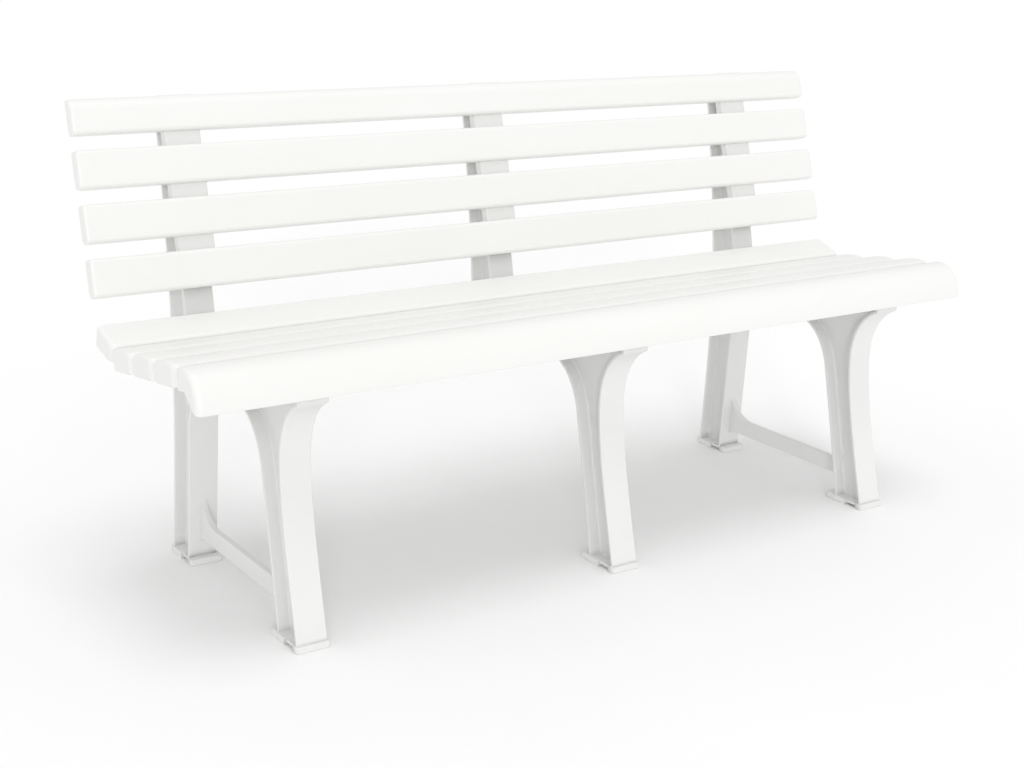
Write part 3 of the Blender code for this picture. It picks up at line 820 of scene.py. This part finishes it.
def resin(name, pale, deep, smooth, rough):
    """Moulded resin: faint flow clouding, uneven gloss, fine mould grain and a slow sink-mark ripple."""
    material = bpy.data.materials.new(name)
    material.use_nodes = True
    tree = material.node_tree
    shader = tree.nodes["Principled BSDF"]
    where = add_node(tree, "ShaderNodeTexCoord").outputs["Object"]
    flow = add_node(tree, "ShaderNodeMapping")
    flow.inputs["Scale"].default_value = (0.35, 1.0, 1.0)
    tree.links.new(where, flow.inputs["Vector"])
    clouds = add_node(tree, "ShaderNodeTexNoise", Scale=9.0, Detail=4.0, Roughness=0.55)
    tree.links.new(flow.outputs["Vector"], clouds.inputs["Vector"])
    cloud_share = mapped(tree, clouds.outputs["Fac"], 0.0, 1.0)
    tree.links.new(blended(tree, cloud_share, pale, deep), shader.inputs["Base Color"])
    patches = add_node(tree, "ShaderNodeTexNoise", Scale=34.0, Detail=3.0, Roughness=0.6)
    tree.links.new(where, patches.inputs["Vector"])
    tree.links.new(mapped(tree, patches.outputs["Fac"], smooth, rough), shader.inputs["Roughness"])
    grain = add_node(tree, "ShaderNodeTexNoise", Scale=950.0, Detail=2.0, Roughness=0.5)
    tree.links.new(where, grain.inputs["Vector"])
    ripple = add_node(tree, "ShaderNodeTexNoise", Scale=14.0, Detail=0.0, Roughness=0.4)
    tree.links.new(flow.outputs["Vector"], ripple.inputs["Vector"])
    fine = add_node(tree, "ShaderNodeBump", Strength=0.03, Distance=0.0001)
    tree.links.new(grain.outputs["Fac"], fine.inputs["Height"])
    slow = add_node(tree, "ShaderNodeBump", Strength=0.10, Distance=0.0004)
    tree.links.new(ripple.outputs["Fac"], slow.inputs["Height"])
    tree.links.new(fine.outputs["Normal"], slow.inputs["Normal"])
    tree.links.new(slow.outputs["Normal"], shader.inputs["Normal"])
    shader.inputs["IOR"].default_value = 1.49
    return material


def zinc(name):
    """Zinc-plated steel: cloudy passivation and fine turning marks."""
    material = bpy.data.materials.new(name)
    material.use_nodes = True
    tree = material.node_tree
    shader = tree.nodes["Principled BSDF"]
    shader.inputs["Metallic"].default_value = 1.0
    where = add_node(tree, "ShaderNodeTexCoord").outputs["Object"]
    clouds = add_node(tree, "ShaderNodeTexNoise", Scale=420.0, Detail=3.0, Roughness=0.6)
    tree.links.new(where, clouds.inputs["Vector"])
    share = mapped(tree, clouds.outputs["Fac"], 0.0, 1.0)
    colour = blended(tree, share, (0.66, 0.67, 0.68), (0.52, 0.53, 0.55))
    tree.links.new(colour, shader.inputs["Base Color"])
    tree.links.new(mapped(tree, clouds.outputs["Fac"], 0.28, 0.46), shader.inputs["Roughness"])
    marks = add_node(tree, "ShaderNodeTexNoise", Scale=2600.0, Detail=1.0)
    tree.links.new(where, marks.inputs["Vector"])
    bump = add_node(tree, "ShaderNodeBump", Strength=0.15, Distance=0.0001)
    tree.links.new(marks.outputs["Fac"], bump.inputs["Height"])
    tree.links.new(bump.outputs["Normal"], shader.inputs["Normal"])
    return material


def floor_finish():
    """Plain white studio floor with a trace of unevenness."""
    material = bpy.data.materials.new("studio_floor")
    material.use_nodes = True
    tree = material.node_tree
    shader = tree.nodes["Principled BSDF"]
    where = add_node(tree, "ShaderNodeTexCoord").outputs["Object"]
    clouds = add_node(tree, "ShaderNodeTexNoise", Scale=1.5, Detail=2.0)
    tree.links.new(where, clouds.inputs["Vector"])
    share = mapped(tree, clouds.outputs["Fac"], 0.0, 1.0)
    colour = blended(tree, share, (0.95, 0.95, 0.95), (0.94, 0.94, 0.94))
    tree.links.new(colour, shader.inputs["Base Color"])
    shader.inputs["Roughness"].default_value = 1.0
    shader.inputs["Specular IOR Level"].default_value = 0.0
    return material


# ---------------------------------------------------------------- the bench

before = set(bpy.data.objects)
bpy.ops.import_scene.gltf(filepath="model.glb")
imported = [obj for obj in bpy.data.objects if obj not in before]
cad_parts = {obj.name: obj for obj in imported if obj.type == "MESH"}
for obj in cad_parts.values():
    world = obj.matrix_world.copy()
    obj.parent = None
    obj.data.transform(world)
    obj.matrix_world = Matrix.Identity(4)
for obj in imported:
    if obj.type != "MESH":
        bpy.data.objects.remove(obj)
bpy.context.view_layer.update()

frame_places = []
for side in SIDES:
    side_low, side_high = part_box(f"side_frame_{side}")
    frame_places.append((side_low.x + side_high.x) / 2)
screw_low, screw_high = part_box("screw_seat_2_middle")
screw_offset = (screw_low.x + screw_high.x) / 2 - frame_places[1]

frame_finish = resin("white_frame_resin", (0.810, 0.810, 0.800), (0.795, 0.795, 0.783), 0.36, 0.46)
slat_finish = resin("white_slat_resin", (0.845, 0.843, 0.828), (0.830, 0.828, 0.810), 0.28, 0.38)
screw_finish = zinc("zinc_plate")

outer_frame = frame_mesh(True)
frame_shapes = (outer_frame, frame_mesh(False), outer_frame)
for side, x, shape in zip(SIDES, frame_places, frame_shapes):
    node = f"side_frame_{side}"
    place_piece(f"moulded_frame_{side}", shape, node, frame_finish, (x, 0, 0))

shapes = {
    "seat_slat_1_rear": slat_mesh(
        "rear_seat_slat",
        "seat_slat_1_rear",
        SEAT_REAR_RISE,
        SEAT_ENDS,
        REAR_SEAT_SLAT_EDGE,
        SEAT_SLAT_EDGE,
        fall=REAR_SEAT_FALL,
    ),
    "seat_slat_5_front": nose_mesh("front_seat_slat", "seat_slat_5_front"),
    "back_slat_4_top": slat_mesh(
        "top_back_slat",
        "back_slat_4_top",
        90 - BACK_LEAN,
        BACK_ENDS,
        TOP_SLAT_EDGE,
        BACK_SLAT_EDGE,
        rim=BACK_RIM_DEPTH,
    ),
}
for i in (2, 3, 4):
    node = f"seat_slat_{i}"
    shapes[node] = slat_mesh(
        f"seat_slat_shape_{i}",
        node,
        -SEAT_RISE,
        SEAT_ENDS,
        SEAT_SLAT_EDGE,
        SEAT_SLAT_EDGE,
        crown=SEAT_CROWN,
    )
for i in (1, 2, 3):
    node = f"back_slat_{i}"
    shapes[node] = slat_mesh(
        f"back_slat_shape_{i}",
        node,
        90 - BACK_LEAN,
        BACK_ENDS,
        BACK_SLAT_EDGE,
        BACK_SLAT_EDGE,
        rim=BACK_RIM_DEPTH,
    )
for node, shape in sorted(shapes.items()):
    place_piece(f"moulded_{node}", shape, node, slat_finish)

screw_angles = {"seat_1": SEAT_REAR_RISE}
screw_angles.update({f"seat_{i}": -SEAT_RISE for i in (2, 3, 4, 5)})
screw_angles.update({f"back_{i}": 90 - BACK_LEAN for i in (1, 2, 3, 4)})
for group, angle in screw_angles.items():
    shape = screw_mesh(f"screw_{group}", f"screw_{group}_middle", angle)
    for side, x in zip(SIDES, frame_places):
        node = f"screw_{group}_{side}"
        shift = (x + screw_offset, 0, 0)
        place_piece(f"fixing_{group}_{side}", shape, node, screw_finish, shift)

# ---------------------------------------------------------------- floor, light and camera

FLOOR_SIZE = 40.0
floor_shape = Solid()
reach = FLOOR_SIZE / 2
corners = floor_shape.row([(-reach, -reach, 0), (reach, -reach, 0), (reach, reach, 0), (-reach, reach, 0)])
floor_shape.faces.append(corners)
floor = bpy.data.objects.new("studio_floor", floor_shape.mesh("studio_floor"))
floor.data.materials.append(floor_finish())
bpy.context.scene.collection.objects.link(floor)

world = bpy.data.worlds.new("studio")
world.use_nodes = True
background = world.node_tree.nodes["Background"]
background.inputs["Color"].default_value = (1.0, 1.0, 1.0, 1.0)
background.inputs["Strength"].default_value = 0.81
bpy.context.scene.world = world


def soft_light(name, azimuth, elevation, spread, strength):
    """A broad distant light, its angles in degrees.

    Azimuth 0 shines from the front and 90 from the sitter's left.
    """
    light = bpy.data.lights.new(name, "SUN")
    light.angle = math.radians(spread)
    light.energy = strength
    lamp = bpy.data.objects.new(name, light)
    turn = math.radians(azimuth)
    rise = math.radians(elevation)
    source = Vector((math.sin(turn) * math.cos(rise), -math.cos(turn) * math.cos(rise), math.sin(rise)))
    lamp.rotation_euler = source.to_track_quat("Z", "Y").to_euler()
    bpy.context.scene.collection.objects.link(lamp)


soft_light("front_softbox", -12, 18, 40, 0.26)
soft_light("camera_fill", -32, 14, 10, 0.46)
soft_light("top_softbox", 0, 82, 30, 0.62)
bpy.context.scene.view_settings.view_transform = "Standard"

CAMERA_PLACE = (-1.51536, -2.06639, 1.00208)
CAMERA_YAW = math.radians(34.5398)
CAMERA_PITCH = math.radians(13.5351)
CAMERA_ROLL = math.radians(1.6696)
LENS_MM = 56.23
SENSOR_MM = 36.0
CAMERA_SHIFT = (0.01046, -0.07965)
NEAR_LIMIT = 0.05
ahead = Vector(
    (
        math.sin(CAMERA_YAW) * math.cos(CAMERA_PITCH),
        math.cos(CAMERA_YAW) * math.cos(CAMERA_PITCH),
        -math.sin(CAMERA_PITCH),
    )
)
level_right = Vector((math.cos(CAMERA_YAW), -math.sin(CAMERA_YAW), 0.0))
level_up = level_right.cross(ahead)
camera_right = math.cos(CAMERA_ROLL) * level_right + math.sin(CAMERA_ROLL) * level_up
camera_up = -math.sin(CAMERA_ROLL) * level_right + math.cos(CAMERA_ROLL) * level_up
camera_data = bpy.data.cameras.new("photo_view")
camera_data.lens = LENS_MM
camera_data.sensor_width = SENSOR_MM
camera_data.shift_x, camera_data.shift_y = CAMERA_SHIFT
camera_data.clip_start = NEAR_LIMIT
camera = bpy.data.objects.new("photo_view", camera_data)
facing = Matrix((camera_right, camera_up, -ahead)).transposed().to_4x4()
camera.matrix_world = Matrix.Translation(CAMERA_PLACE) @ facing
bpy.context.scene.collection.objects.link(camera)
bpy.context.scene.camera = camera
